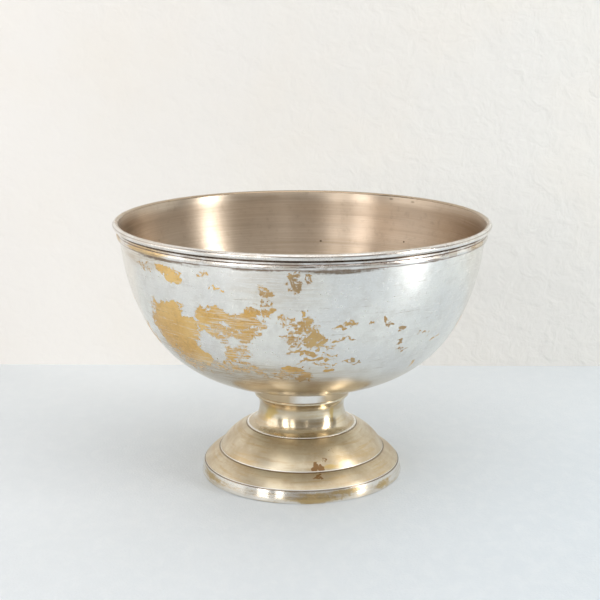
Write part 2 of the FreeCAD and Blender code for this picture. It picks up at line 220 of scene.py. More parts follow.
def soft_light(name, bearing, height, distance, size, power, colour=DAYLIGHT, aim=BOWL_MIDDLE):
    """A flat light at a bearing, facing its aim. The camera doesn't see it, but the metal does."""
    lamp = bpy.data.lights.new(name, "AREA")
    lamp.shape = "RECTANGLE"
    lamp.size, lamp.size_y = size
    lamp.energy = power
    lamp.color = colour
    turn = math.radians(bearing)
    place = Vector((distance * math.sin(turn), -distance * math.cos(turn), height))
    facing = (Vector(aim) - place).to_track_quat("-Z", "Y").to_matrix().to_4x4()
    holder = bpy.data.objects.new(name, lamp)
    holder.matrix_world = Matrix.Translation(place) @ facing
    holder.visible_camera = False
    bpy.context.scene.collection.objects.link(holder)


soft_light("right_window", 69.0, 0.85, 2.2, (0.36, 1.6), 25.0, (1.0, 0.985, 0.96))
soft_light("left_window", -24.0, 0.85, 2.6, (0.42, 1.6), 5.4)
soft_light("left_door", -43.0, 0.85, 2.6, (0.62, 1.6), 12.0, (1.0, 0.98, 0.96))
soft_light("door_gap", 13.0, 0.85, 2.6, (0.10, 1.2), 0.8)
soft_light("far_left_window", -85.0, 0.9, 2.6, (2.0, 1.7), 15.0)
soft_light("white_card", 66.0, 0.04, 0.60, (0.07, 0.36), 0.085, (1.0, 1.0, 1.0), (0.16, -0.06, 0.21))
soft_light("ceiling", 0.0, 3.2, 1.3, (4.4, 3.2), 52.0, (1.0, 0.99, 0.97), (0.0, 0.2, 0.3))

ROOM_LIGHT, ROOM_STRENGTH = (0.93, 0.90, 0.86, 1.0), 0.36
ROOM_SEEN = (0.84, 0.83, 0.80, 1.0)

room = bpy.data.worlds.new("room")
room.use_nodes = True
room_tree = room.node_tree
air = room_tree.nodes["Background"]
air.inputs["Color"].default_value = ROOM_LIGHT
air.inputs["Strength"].default_value = ROOM_STRENGTH
seen_room = room_tree.nodes.new("ShaderNodeBackground")
seen_room.inputs["Color"].default_value = ROOM_SEEN
eye = room_tree.nodes.new("ShaderNodeLightPath")
either = room_tree.nodes.new("ShaderNodeMixShader")
room_tree.links.new(eye.outputs["Is Camera Ray"], either.inputs[0])
room_tree.links.new(air.outputs[0], either.inputs[1])
room_tree.links.new(seen_room.outputs[0], either.inputs[2])
room_tree.links.new(either.outputs[0], room_tree.nodes["World Output"].inputs["Surface"])
bpy.context.scene.world = room

# -------------------------------------------------------------------------------------------------
# Bowl: one disc of sheet brass, spun over a former to a round bottom, a shoulder and a nearly
# upright wall. The edge is rolled outwards over a wire. It was silver plated, and the plate is
# rubbed through to the brass outside. The inside is brushed and tarnished.
# -------------------------------------------------------------------------------------------------
ROUND_STEPS = 320
MERGE_DISTANCE = 1e-6
SHARP_CORNER = math.radians(20.0)


class Outline:
    """A piece's section, drawn edge by edge in the XZ plane and then turned about Z."""

    def __init__(self, radius, height):
        self.mesh = bmesh.new()
        self.tip = self.mesh.verts.new((radius, 0.0, height))
        self.start = self.tip

    def line(self, radius, height, steps=1):
        """A straight run in equal steps."""
        step = (Vector((radius, 0.0, height)) - self.tip.co) / steps
        for _ in range(steps):
            grown = bmesh.ops.extrude_vert_indiv(self.mesh, verts=[self.tip])["verts"]
            bmesh.ops.translate(self.mesh, verts=grown, vec=step)
            self.tip = grown[0]

    def bend(self, centre, angle, steps):
        """An arc about a (radius, height) centre. A positive angle in degrees turns left."""
        turned = bmesh.ops.spin(
            self.mesh, geom=[self.tip], cent=(centre[0], 0.0, centre[1]), axis=(0.0, -1.0, 0.0),
            angle=math.radians(angle), steps=steps, use_duplicate=False,
        )
        self.tip = turned["geom_last"][0]

    def bend_to(self, radius, height, arc, steps):
        """An arc of the given radius to a point, to the left if it is positive."""
        run = Vector((radius, 0.0, height)) - self.tip.co
        half = run.length / 2
        side = math.copysign(1.0, arc)
        rise = math.sqrt(max(arc * arc - half * half, 0.0))
        across = Vector((-run.z, 0.0, run.x)).normalized()
        centre = self.tip.co + run / 2 + across * rise * side
        angle = 2 * math.degrees(math.asin(min(half / abs(arc), 1.0))) * side
        self.bend((centre.x, centre.z), angle, steps)

    def close(self):
        self.mesh.edges.new((self.tip, self.start))

    def turn(self, name, finishes, slot, steps=ROUND_STEPS):
        """Turns the section right round and makes it the piece that stands for a CAD node."""
        section = self.mesh.verts[:] + self.mesh.edges[:]
        bmesh.ops.spin(self.mesh, geom=section, cent=(0, 0, 0), axis=(0, 0, 1), angle=math.tau,
                       steps=steps, use_merge=True, use_duplicate=False)
        bmesh.ops.remove_doubles(self.mesh, verts=self.mesh.verts[:], dist=MERGE_DISTANCE)
        bmesh.ops.recalc_face_normals(self.mesh, faces=self.mesh.faces[:])
        for face in self.mesh.faces:
            face.smooth = True
        for edge in self.mesh.edges:
            edge.smooth = len(edge.link_faces) == 2 and edge.calc_face_angle() < SHARP_CORNER
        data = bpy.data.meshes.new(name)
        self.mesh.to_mesh(data)
        self.mesh.free()
        for finish in finishes:
            data.materials.append(finish.material)
        piece = bpy.data.objects.new(name, data)
        bpy.context.scene.collection.objects.link(piece)
        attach(piece, "root")
        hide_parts(name.removesuffix("_look"))
        return piece


# Where the plate is rubbed through to brass. A spot is (bearing, height, half width, half height,
# tilt, strength), with its bearing, half width and tilt in degrees and its heights in millimetres.
RUBBED = [
    # The big patch on the left, its arm to the right and the thin streaks under it.
    (-46, 172, 11, 24, 0, 1.2), (-43, 187, 7, 11, 0, 1.15), (-53, 163, 5, 22, 0, 0.85),
    (-42, 149, 9, 13, 0, 1.15), (-46, 135, 9, 8, 0, 0.6), (-29, 192, 8, 7, 0, 1.0),
    (-36, 181, 2.4, 12, 0, 1.0), (-30, 182, 6, 4, 0, 0.75), (-19, 190, 7, 8, 0, 1.0),
    (-12, 198, 4, 4, 0, 0.7), (-19, 176, 8, 7, 0, 0.78), (-27, 173, 5, 7, 0, 0.85),
    (-31, 178, 4, 5, 0, 0.8), (-25, 156, 2, 9, 8, 1.0), (-20, 158, 4, 13, 0, 0.55),
    (-30, 146, 6, 5, 0, 0.55), (-22, 139, 14, 5, 0, 0.6), (-14, 138, 6, 4, 0, 0.65),
    (-3, 142, 5, 5, 0, 1.0), (1, 134, 3, 5, 0, 1.0), (-8, 134, 6, 4, 0, 0.6),
    # The leafy patch at the front, with thin branches below it.
    (2, 188, 4.5, 8, 0, 0.62), (1, 176, 7, 10, 0, 0.56), (4.0, 175, 4.5, 8, 0, 0.85),
    (-6, 190, 5, 5, 0, 0.52), (-3, 168, 3.5, 7, 0, 0.56), (1, 198.5, 1.2, 1.8, 0, 1.0),
    (7, 166, 4, 3, 0, 0.7), (0, 159.5, 5, 2.2, 0, 0.9), (5, 152.5, 7, 1.7, 2, 0.9),
    (8, 147.5, 5, 1.5, -6, 0.85), (9, 158, 3, 2, 0, 0.65),
    # Scratches and specks to the right of it.
    (13, 187, 4, 2, 16, 0.62), (16, 191, 1.6, 1.4, 0, 0.9), (21.5, 188, 1, 1, 0, 0.9),
    (26, 188, 1.5, 2, -40, 0.85), (28, 184, 1.2, 1.5, 0, 0.8), (15, 172, 5, 0.8, -3, 0.7),
    (11, 174, 1.4, 2, 0, 0.7), (17, 152, 3, 1.1, 5, 0.75), (20, 149.5, 1.2, 1.2, 0, 0.95),
    (9.5, 141, 1.3, 3, 20, 0.85), (32, 178, 1.2, 3, -20, 0.7), (34, 163, 1.4, 1.3, 0, 0.9),
    (36, 155, 2.6, 3, 0, 0.5), (47, 134, 1.5, 4, 30, 0.6), (43, 168, 3, 1, 0, 0.6),
    (52, 160, 3, 1.2, 0, 0.55),
    # Small ones under the band.
    (-42.5, 227, 5.6, 5.2, -6, 0.95), (-40, 221, 3.6, 3.6, 0, 0.9), (-55, 226, 5, 4.5, 0, 0.5),
    (-29, 229, 2, 3.5, 0, 0.6), (-24, 217, 2.4, 1.4, -6, 0.85), (-10, 217, 2.6, 5, 0, 0.55),
    (-11, 208, 3, 4, 0, 0.52), (-9, 201, 1.6, 3, 0, 0.75), (-2, 226, 2.6, 9, 0, 0.66),
    (2.2, 229, 1, 5, 0, 0.6),
    # The sides and the back.
    (84, 176, 9, 12, 10, 0.85), (76, 160, 6, 7, 0, 0.6), (103, 199, 7, 6, 0, 0.75),
    (118, 163, 15, 13, -15, 0.95), (131, 172, 6, 9, 0, 0.6), (139, 213, 5, 6, 0, 0.8),
    (151, 180, 13, 9, 0, 0.75), (172, 195, 9, 11, 20, 0.9), (178, 158, 10, 9, 0, 0.7),
    (-158, 205, 8, 8, 0, 0.62), (-139, 178, 15, 14, 12, 0.95), (-117, 151, 11, 9, 0, 0.7),
    (-104, 205, 8, 7, 0, 0.66), (-84, 182, 9, 13, 0, 0.8), (-72, 150, 8, 12, 0, 0.6),
]
# Islands of plate left inside the rubbed patches.
KEPT = [
    (-37.3, 191.5, 2.4, 5.0, 0, 1.0), (-34.6, 187, 1.1, 3.5, 0, 0.8),
    (-32.4, 160, 2.7, 12, 0, 1.0), (-28.6, 163, 2.2, 7, 0, 0.7), (-29, 153, 1.8, 6, 0, 0.7),
    (-11, 158, 5.6, 19, 0, 1.0), (-9, 186, 2.8, 9, 0, 0.9), (-24, 184, 2, 3, 0, 0.5),
    (-22, 168, 2.2, 5, 0, 0.4), (124, 160, 4, 5, 0, 0.9), (-134, 176, 4, 6, 0, 0.9),
    (-146, 184, 3, 5, 0, 0.8), (168, 192, 3, 4, 0, 0.8),
]
WALL_RADIUS = 0.165
SPOT_REACH = 1.3
SEAM_REACH = 1.6
HALF_TURN, FULL_TURN = 180.0, 360.0


class TurnedFinish(Finish):
    """A finish for a turned piece. rising is 1 where its section widens upwards, and -1 if not."""

    def __init__(self, name, rising=1.0):
        super().__init__(name)
        parts = self.node("ShaderNodeSeparateXYZ", Vector=self.place).outputs
        self.height = parts["Z"]
        flat = self.node("ShaderNodeCombineXYZ", X=parts["X"], Y=parts["Y"]).outputs[0]
        length = self.node("ShaderNodeVectorMath", {"operation": "LENGTH"}, Vector=flat)
        self.radius = length.outputs["Value"]
        bearing = self.maths("ARCTAN2", parts["X"], self.product(parts["Y"], -1.0))
        self.unrolled = self.node("ShaderNodeCombineXYZ", X=self.product(bearing, WALL_RADIUS),
                                  Y=parts["Z"]).outputs[0]
        up = self.maths("MULTIPLY_ADD", self.radius, rising, parts["Z"])
        self.section = self.node("ShaderNodeCombineXYZ", X=parts["X"], Y=parts["Y"], Z=up).outputs[0]

    def streaks(self, round_scale, up_scale, detail, rough=0.6):
        """Noise drawn out round the piece, as turning and rubbing leave it."""
        drawn_out = self.scaled(self.section, (round_scale, round_scale, up_scale))
        return self.noise(1.0, detail, rough, at=drawn_out)

    def ring(self, low, high, soft):
        """1 from one height to another, and 0 away from there."""
        above = self.between(self.height, low - soft, low + soft)
        below = self.between(self.height, high - soft, high + soft, 1.0, 0.0)
        return self.product(above, below)

    def spots(self, places, at=None, edge=2.2):
        """Strength of the strongest spot: level in the middle, and falling off at its size."""
        total = None
        across_seam = [
            (spot[0] - math.copysign(FULL_TURN, spot[0]), *spot[1:]) for spot in places
            if abs(spot[0]) + SEAM_REACH * spot[2] > HALF_TURN
        ]
        for bearing, height, half_width, half_height, tilt, strength in [*places, *across_seam]:
            spot = self.node(
                "ShaderNodeMapping", {"vector_type": "TEXTURE"}, Vector=at or self.unrolled,
                Location=(math.radians(bearing) * WALL_RADIUS, height / 1000, 0.0),
                Rotation=(0.0, 0.0, math.radians(tilt)),
                Scale=(math.radians(half_width) * WALL_RADIUS * SPOT_REACH,
                       half_height / 1000 * SPOT_REACH, 1.0),
            )
            ball = self.node("ShaderNodeTexGradient", {"gradient_type": "SPHERICAL"},
                             Vector=spot.outputs[0])
            level = self.maths("MULTIPLY", ball.outputs["Fac"], edge, clamp=True)
            weighed = self.product(level, strength)
            total = weighed if total is None else self.larger(total, weighed)
        return total

    def wandering(self, *noises):
        """The unrolled place moved about by noise, each given as (scale, furthest move)."""
        place = self.unrolled
        for scale, move in noises:
            shake = self.node("ShaderNodeTexNoise", Vector=self.place, Scale=scale, Detail=3.0)
            centred = self.node("ShaderNodeMapping", Vector=shake.outputs["Color"],
                                Location=(-move / 2, -move / 2, 0.0), Scale=(move, move, 0.0))
            added = self.node("ShaderNodeVectorMath", {"operation": "ADD"})
            self.feed(added.inputs[0], place)
            self.feed(added.inputs[1], centred.outputs[0])
            place = added.outputs[0]
        return place

    def sum(self, *terms):
        """Adds sockets, each given as (socket, weight)."""
        total = 0.0
        for socket, weight in terms:
            total = self.maths("MULTIPLY_ADD", socket, weight, total)
        return total

    def grain(self, amount):
        """Draws highlights out across the turning marks, as fine rings on the metal do."""
        way = self.node("ShaderNodeTangent", {"direction_type": "RADIAL", "axis": "Z"}).outputs[0]
        self.set(Tangent=way, Anisotropic=amount, Anisotropic_Rotation=0.25)


GOLD, GOLD_DEEP, GOLD_PALE = (0.76, 0.48, 0.16), (0.58, 0.34, 0.12), (0.80, 0.56, 0.24)
GOLD_EDGE, GOLD_BROWNED, SILVER_LEFT = (0.56, 0.35, 0.13), (0.36, 0.25, 0.15), (0.78, 0.74, 0.66)
SILVER, SILVER_COOL, SILVER_GREY = (0.83, 0.82, 0.77), (0.76, 0.755, 0.73), (0.66, 0.64, 0.60)
SILVER_BRIGHT, SILVER_RUB, SILVER_HAIR = (0.93, 0.92, 0.89), (0.58, 0.55, 0.50), (0.56, 0.54, 0.51)
# The last of these tints the bowl's bottom gold: a painted reflection of the foot.
THIN_PLATE, BROWN_FILM, LOW_BOWL_REFLECTION = (0.62, 0.53, 0.42), (0.50, 0.40, 0.27), (0.66, 0.57, 0.43)
# A dark brown used for real dirt and tarnish, and for painted shade in creases, corners and under
# edges.
BLACK_DIRT_AND_SHADE = (0.20, 0.14, 0.09)
LEAFY_SHARE, FINE_SHARE, RUB_SHARE, STREAK_SHARE = 2.2, 2.4, 0.8, 2.6
FILM_STARTS, FILM_FULL, BARE_STARTS, BARE_FULL = 0.30, 0.52, 0.50, 0.57

# Under the big patch the wear goes round the bowl in streaks, as a cloth rubs it.
STREAKED = [
    (-22, 152, 8, 24, 0, 1.0), (-20, 134, 30, 12, 0, 1.0), (-46, 132, 14, 9, 0, 1.0),
    (23, 160, 13, 30, 0, 0.7), (120, 160, 24, 14, 0, 0.8), (-120, 155, 24, 14, 0, 0.8),
]
HALF_RUBBED = [
    (-20, 174, 18, 30, 0, 1.0), (-24, 136, 34, 14, 0, 1.0), (120, 165, 30, 20, 0, 1.0),
]
# Small rubs away from the big patch have tarnished to brown.
BROWNED = [
    (28, 165, 20, 45, 0, 0.8), (-1, 226, 6, 14, 0, 0.85), (-11, 212, 6, 12, 0, 0.6),
    (-55, 226, 7, 8, 0, 0.5), (4, 170, 12, 34, 0, 0.4), (-3, 131, 12, 8, 0, 0.5),
]
FILMED = [
    (-22, 130, 42, 18, 0, 1.0), (-50, 140, 16, 22, 0, 0.9), (-56, 232, 14, 8, 0, 0.6),
    (-7, 221, 13, 22, 0, 0.35), (130, 150, 50, 20, 0, 0.7), (-130, 150, 50, 20, 0, 0.7),
]
# Dark marks just under the band: tarnish there, and painted shade under the band's lower edge.
UNDER_BAND = [
    (10, 236.6, 16, 3.0, 0, 1.0), (-12, 237.4, 12, 2.2, 0, 0.9), (-45, 237, 16, 2.8, 0, 0.9),
    (38, 237.6, 16, 1.6, 0, 0.8), (110, 237, 20, 3, 0, 0.9), (-130, 237, 24, 3, 0, 0.9),
    (170, 237.4, 14, 2, 0, 0.8),
]

worn_plate = TurnedFinish("worn_plate")
leafy = worn_plate.noise(125.0, 5.0, 0.65, 1.2)
fine = worn_plate.noise(270.0, 6.0, 0.75, 0.8)
rubs = worn_plate.streaks(26.0, 420.0, 6.0, 0.72)
hairs = worn_plate.streaks(60.0, 2600.0, 2.0)
scratches = worn_plate.streaks(34.0, 520.0, 6.0, 0.75)
cloud = worn_plate.noise(17.0, 4.0, 0.6)
mottle = worn_plate.noise(90.0, 6.0, 0.7)
torn = worn_plate.wandering((60.0, 0.020), (210.0, 0.010))
worn_through = worn_plate.spots(RUBBED, torn)
left_over = worn_plate.spots(KEPT, torn)
streaked = worn_plate.spots(STREAKED, edge=1.3)
near = worn_plate.between(worn_through, 0.0, 0.35, 0.22, 1.0, smooth=False)
ragged = worn_plate.sum((leafy, LEAFY_SHARE), (fine, FINE_SHARE), (rubs, RUB_SHARE))
ragged = worn_plate.maths("SUBTRACT", ragged, (LEAFY_SHARE + FINE_SHARE + RUB_SHARE) / 2)
torn_streaks = worn_plate.product(worn_plate.maths("SUBTRACT", rubs, 0.5),
                                  worn_plate.product(streaked, STREAK_SHARE))
edge = worn_plate.sum((worn_through, 1.0), (left_over, -1.0), (worn_plate.product(ragged, near), 1.0),
                      (torn_streaks, 1.0))
bare = worn_plate.between(edge, BARE_STARTS, BARE_FULL)
film = worn_plate.between(edge, FILM_STARTS, FILM_FULL)

half_rubbed = worn_plate.spots(HALF_RUBBED, edge=1.6)
silver_lines = worn_plate.sum((scratches, 1.0), (half_rubbed, 0.10))
bare_edge = worn_plate.sum((edge, 1.0), (mottle, 0.8))
gold = worn_plate.coats(
    GOLD,
    (worn_plate.between(fine, 0.35, 0.7), GOLD_DEEP),
    (worn_plate.between(cloud, 0.42, 0.68), GOLD_PALE),
    (worn_plate.between(silver_lines, 0.56, 0.68, 0.0, 0.75), SILVER_LEFT),
    (worn_plate.between(bare_edge, 0.85, 1.20, 0.75, 0.0), GOLD_EDGE),
    (worn_plate.spots(BROWNED, edge=1.5), GOLD_BROWNED),
)
filmed = worn_plate.product(worn_plate.spots(FILMED, edge=1.7),
                            worn_plate.between(scratches, 0.42, 0.58, 0.25, 0.95))
silver = worn_plate.coats(
    SILVER,
    (worn_plate.between(cloud, 0.35, 0.65), SILVER_COOL),
    (worn_plate.between(mottle, 0.46, 0.66, 0.0, 0.5), SILVER_GREY),
    (worn_plate.between(fine, 0.52, 0.66, 0.0, 0.6), SILVER_BRIGHT),
    (worn_plate.between(rubs, 0.56, 0.70, 0.0, 0.35), SILVER_RUB),
    (worn_plate.between(hairs, 0.55, 0.8, 0.0, 0.35), SILVER_HAIR),
    (worn_plate.product(film, 0.5), THIN_PLATE),
    (filmed, BROWN_FILM),
    # Painted reflection: the bottom, below about 135 mm, is tinted gold as the foot shows in it.
    (worn_plate.between(worn_plate.height, 0.108, 0.135, 0.75, 0.0), LOW_BOWL_REFLECTION),
)
# Tarnish and painted shade just under the band.
under_band_grime_and_shade = worn_plate.sum((worn_plate.spots(UNDER_BAND, edge=1.2), 1.1), (fine, 1.4), (rubs, 2.4))
# Painted shade in the crease between the band's top and the roll.
groove = worn_plate.product(worn_plate.ring(0.2436, 0.2466, 0.0003), 0.7)
dirt_and_shade = worn_plate.larger(worn_plate.between(under_band_grime_and_shade, 2.1, 2.8, 0.0, 0.9), groove)
low_shine = worn_plate.between(worn_plate.height, 0.10, 0.15, 0.13, 0.20)
worn_plate.set(
    Base_Color=worn_plate.coats(silver, (bare, gold), (dirt_and_shade, BLACK_DIRT_AND_SHADE)),
    Metallic=1.0,
    Roughness=worn_plate.sum((bare, 0.08), (low_shine, 1.0), (fine, 0.12)),
    Normal=worn_plate.bump(hairs, 0.00002, 0.4, worn_plate.bump(bare, 0.00003, 0.5)),
)
worn_plate.grain(0.3)

INSIDE, INSIDE_DULL, INSIDE_COPPER = (0.585, 0.50, 0.405), (0.50, 0.415, 0.32), (0.66, 0.515, 0.395)
INSIDE_BROWN, INSIDE_STROKE, INSIDE_SHADE = (0.36, 0.26, 0.17), (0.74, 0.66, 0.57), (0.36, 0.27, 0.19)
INSIDE_SCUFF, INSIDE_PIT = (0.40, 0.31, 0.23), (0.10, 0.07, 0.04)

# It is copper-coloured round the back to the right, and browner at the sides.
WARM_INSIDE = [
    (146, 215, 50, 60, 0, 0.9), (118, 220, 34, 60, 0, 0.8),
]
DARK_INSIDE = [
    (-98, 225, 20, 60, 0, 0.8), (98, 225, 26, 60, 0, 0.9), (-168, 246, 14, 6, 0, 0.7),
    (170, 190, 40, 16, 0, 0.4),
]
PITS = [
    (173, 198.4, 0.45, 1.0, 0, 1.0), (140, 204.6, 0.40, 0.9, 0, 1.0),
    (147, 247.6, 0.8, 1.1, 0, 0.55), (138, 247.0, 0.8, 1.1, 0, 0.5),
    (-120, 214.0, 0.3, 0.6, 0, 0.6), (60, 190.0, 0.5, 1.0, 0, 0.9),
]

brushed_inside = TurnedFinish("brushed_inside")
strokes = brushed_inside.streaks(14.0, 900.0, 4.0, 0.7)
broad = brushed_inside.streaks(5.0, 90.0, 5.0, 0.65)
dull = brushed_inside.noise(9.0, 4.0, 0.55)
scuff = brushed_inside.noise(150.0, 5.0, 0.7)
copper = brushed_inside.spots(WARM_INSIDE, edge=1.0)
brushed_inside.set(
    Base_Color=brushed_inside.coats(
        INSIDE,
        (brushed_inside.between(dull, 0.35, 0.65), INSIDE_DULL),
        (brushed_inside.product(copper, 0.8), INSIDE_COPPER),
        (brushed_inside.spots(DARK_INSIDE, edge=1.0), INSIDE_BROWN),
        (brushed_inside.between(strokes, 0.35, 0.75, 0.0, 0.40), INSIDE_STROKE),
        (brushed_inside.between(broad, 0.45, 0.8, 0.0, 0.45), INSIDE_SHADE),
        (brushed_inside.between(scuff, 0.5, 0.75, 0.0, 0.4), INSIDE_SCUFF),
        (brushed_inside.spots(PITS, edge=1.6), INSIDE_PIT),
    ),
    Metallic=1.0,
    Roughness=brushed_inside.between(broad, 0.3, 0.7, 0.33, 0.39),
    Normal=brushed_inside.bump(strokes, 0.00003, 0.5),
)
brushed_inside.grain(0.75)

LIP, LIP_SMUT = (0.86, 0.84, 0.81), (0.72, 0.68, 0.62)
LIP_TOP, LIP_PAINTED_DARK = (0.47, 0.36, 0.24), (0.22, 0.16, 0.12)

lip_plate = TurnedFinish("lip_plate")
lip_smut = lip_plate.noise(45.0, 6.0, 0.7, 0.3)
lip_top = lip_plate.between(lip_plate.radius, 0.1767, 0.1779, 1.0, 0.0)
# Painted shade under the roll where it meets the band, and a thin dark line painted round the roll as a
# painted reflection.
lip_shade_and_reflection = lip_plate.larger(lip_plate.product(lip_plate.ring(0.2500, 0.2506, 0.0003), 0.7),
                            lip_plate.between(lip_plate.height, 0.2462, 0.2474, 0.9, 0.0))
lip_plate.set(
    Base_Color=lip_plate.coats(
        LIP,
        (lip_plate.between(lip_smut, 0.4, 0.65), LIP_SMUT),
        (lip_plate.product(lip_top, 0.9), LIP_TOP),
        (lip_shade_and_reflection, LIP_PAINTED_DARK),
    ),
    Metallic=1.0,
    Roughness=lip_plate.between(lip_smut, 0.4, 0.7, 0.2, 0.35),
)

ROLL_CENTRE, ROLL_ANGLE = (0.1771, 0.2491), 275.5
LIP_RADIUS, LIP_HEIGHT = 0.1743, 0.2444
INSIDE_NUMBER, LIP_NUMBER = 1, 2

bowl = Outline(0.0, 0.0853)
bowl.bend_to(0.0907, 0.102862, 0.243, 20)
bowl.bend_to(0.1513, 0.157959, 0.1177, 26)
bowl.bend_to(0.173264, 0.2385, 0.199, 26)
bowl.bend_to(0.175497, 0.249667, -0.040107, 6)
bowl.bend(ROLL_CENTRE, -ROLL_ANGLE, 22)
bowl.line(0.175874, 0.246472)
bowl.bend(ROLL_CENTRE, ROLL_ANGLE, 36)
bowl.bend_to(0.172066, 0.238566, 0.041307, 6)
bowl.bend_to(0.150234, 0.15851, -0.1978, 26)
bowl.bend_to(0.090252, 0.103975, -0.1165, 26)
bowl.bend_to(0.0, 0.0865, -0.2418, 20)
bowl_look = bowl.turn("bowl_shell_look", [worn_plate, brushed_inside, lip_plate], "bowl_plate")
for face in bowl_look.data.polygons:
    x, y, z = face.center
    across = (face.normal.x * x + face.normal.y * y) / math.hypot(x, y)
    if math.hypot(x, y) > LIP_RADIUS and z > LIP_HEIGHT:
        face.material_index = LIP_NUMBER
    elif face.normal.z - across > 0.0:
        face.material_index = INSIDE_NUMBER

# -------------------------------------------------------------------------------------------------
# Rim band: a drawn strip of plated brass, bent round the wall under the roll and soldered on. It
# has a broad reed, a fine groove and a narrow fillet. Dark lines are painted along the groove
# and the band's top and bottom edges: tarnish, and painted shade in these creases.
# -------------------------------------------------------------------------------------------------
RIM, RIM_SMUT, RIM_BRASSY, RIM_DIRT_AND_SHADE = (
    (0.80, 0.785, 0.76), (0.60, 0.55, 0.48), (0.62, 0.44, 0.21), (0.26, 0.19, 0.15))
BRASSY_RIM = [
    (-52, 241, 16, 6, 0, 1.0), (-78, 241, 14, 6, 0, 0.8), (64, 241, 10, 5, 0, 0.6),
    (140, 241, 24, 6, 0, 0.8), (-140, 241, 20, 6, 0, 0.8),
]

rim_plate = TurnedFinish("rim_plate")
smut = rim_plate.noise(38.0, 6.0, 0.7, 0.3)
dashes = rim_plate.streaks(40.0, 500.0, 5.0, 0.7)
# Painted shade and tarnish: dark lines along the fine groove and along the band's top and bottom edges.
crease_tarnish_and_shade = rim_plate.larger(rim_plate.ring(0.2420, 0.2431, 0.0003), rim_plate.ring(0.2370, 0.2384, 0.0003))
crease_tarnish_and_shade = rim_plate.larger(crease_tarnish_and_shade, rim_plate.between(rim_plate.height, 0.2441, 0.2447))
crease_tarnish_and_shade = rim_plate.product(crease_tarnish_and_shade, rim_plate.between(smut, 0.32, 0.5, 0.45, 1.0))
brassy = rim_plate.sum((rim_plate.spots(BRASSY_RIM, edge=1.3), 0.9), (dashes, 1.4))
rim_plate.set(
    Base_Color=rim_plate.coats(
        RIM,
        (rim_plate.between(smut, 0.38, 0.62), RIM_SMUT),
        (rim_plate.between(brassy, 1.0, 1.45, 0.0, 0.9), RIM_BRASSY),
        (rim_plate.larger(crease_tarnish_and_shade, rim_plate.between(dashes, 0.54, 0.64, 0.0, 0.8)), RIM_DIRT_AND_SHADE),
    ),
    Metallic=1.0,
    Roughness=rim_plate.between(smut, 0.4, 0.7, 0.22, 0.4),
)
band = Outline(0.1734, 0.2377)
band.line(0.1757, 0.2377)
band.bend_to(0.1757, 0.2423, 0.0046, 10)
band.line(0.1752, 0.2430)
band.line(0.1760, 0.2430)
band.line(0.1760, 0.2446)
band.line(0.17415, 0.2446)
band.close()
band.turn("rim_band_look", [rim_plate], "rim_plate")

# -------------------------------------------------------------------------------------------------
# Neck collar: a turned, plated ring that fills the corner between the round bowl and the foot's
# flat top. Most of its plate is dull and brown. The bright patch at the front is a painted
# reflection, and two narrow ones further round are bright plate.
# -------------------------------------------------------------------------------------------------
COLLAR_STEPS = 192
COLLAR, COLLAR_HAZE = (0.88, 0.86, 0.82), (0.76, 0.72, 0.65)
COLLAR_BROWN, COLLAR_SEAM = (0.50, 0.39, 0.25), (0.45, 0.32, 0.16)
# The spot at the front is a painted reflection; the two further round are bright plate.
SILVER_REFLECTION_AND_PLATE = [
    (8, 85, 24, 60, 0, 1.0), (120, 85, 8, 60, 0, 1.0), (-120, 85, 7, 60, 0, 1.0),
]

collar = Outline(0.0390, 0.0806)
collar.line(0.0461, 0.0806)
collar.bend_to(0.0466, 0.0811, 0.0005, 4)
collar.line(0.0466, 0.08981)
collar.bend_to(0.0390, 0.08845, -0.243, 2)
collar.close()
collar_plate = TurnedFinish("collar_plate")
haze = collar_plate.noise(60.0, 4.0, 0.6)
# Bright silver: a painted reflection at the front, and bright plate elsewhere.
silver_reflection_and_plate = collar_plate.sum((collar_plate.spots(SILVER_REFLECTION_AND_PLATE, edge=1.3), 1.0), (haze, 1.2))
bright = collar_plate.mix(collar_plate.between(haze, 0.35, 0.65), COLLAR, COLLAR_HAZE)
collar_plate.set(
    Base_Color=collar_plate.coats(
        COLLAR_BROWN,
        (collar_plate.between(silver_reflection_and_plate, 0.8, 1.5), bright),
        (collar_plate.between(collar_plate.height, 0.0806, 0.0815, 0.9, 0.0), COLLAR_SEAM),
    ),
    Metallic=1.0,
    Roughness=0.16,
)
collar.turn("neck_collar_look", [collar_plate], "rim_plate", COLLAR_STEPS)

# -------------------------------------------------------------------------------------------------
# Foot: a hollow stem and two rounded tiers, spun from one sheet. Its plate is thin and warm in
# colour, yellow where it is rubbed, and stained at the front.
# -------------------------------------------------------------------------------------------------
FOOT_STEPS = 256
FOOT, FOOT_HAZE, FOOT_RUB = (0.70, 0.625, 0.48), (0.55, 0.45, 0.31), (0.54, 0.40, 0.22)
FOOT_PALE, FOOT_YELLOW, FOOT_STAIN = (0.80, 0.74, 0.62), (0.60, 0.43, 0.16), (0.30, 0.16, 0.06)
FOOT_EDGE_HIGHLIGHT = (0.96, 0.94, 0.90)
EDGE_SOFT = 0.0002
YELLOWED = [
    (20, 28.5, 8, 2.6, 0, 0.9), (44, 66, 5, 10, 0, 1.0), (-46, 67, 17, 9, 10, 1.0),
    (-6, 32, 12, 7, 0, 0.35), (52, 38, 12, 5, 0, 0.4), (140, 30, 12, 8, 0, 0.9),
    (-120, 66, 10, 8, 0, 0.8), (-150, 20, 14, 5, 0, 0.8),
]
STAINS = [
    (10, 28.5, 2.0, 3.6, 0, 1.0), (13, 27.5, 2.6, 2.8, 0, 0.85), (7.6, 27, 1.6, 2.2, 0, 0.9),
    (10, 21.5, 3.5, 1.5, 0, 0.7), (17, 34, 2.4, 1.2, 0, 0.4), (24, 40, 3, 1.5, 0, 0.35),
    (-140, 38, 3, 4, 0, 0.8),
]

